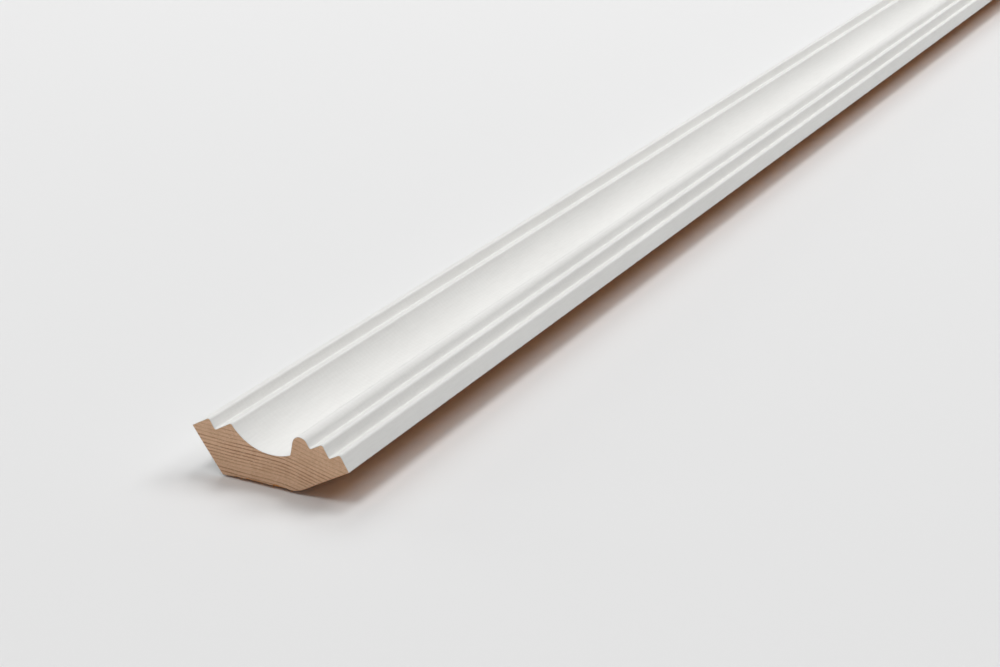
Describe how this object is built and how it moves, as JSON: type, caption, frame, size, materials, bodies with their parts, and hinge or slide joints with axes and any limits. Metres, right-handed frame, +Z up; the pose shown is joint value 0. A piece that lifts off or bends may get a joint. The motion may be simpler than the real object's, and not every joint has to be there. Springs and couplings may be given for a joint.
{
  "type": "crown moulding length",
  "caption": "Straight length of primed softwood crown moulding with a cove, a bead and stepped fillets, for the corner between wall and ceiling.",
  "frame": {"origin": "middle of the length and of the width, on the plane of the flat back that the moulding lies on", "axes": "+X across the strip from the ceiling land to the wall land, +Y along the strip, +Z up from the back to the moulded face"},
  "size_m": [0.0576, 1, 0.0194],
  "materials": {
    "primed_pine": "dull white primer on the moulded face and the ceiling land, bare pine on the back, the wall land and the sawn ends"
  },
  "bodies": {
    "root": {"crown_moulding": "primed_pine"}
  },
  "joints": []
}
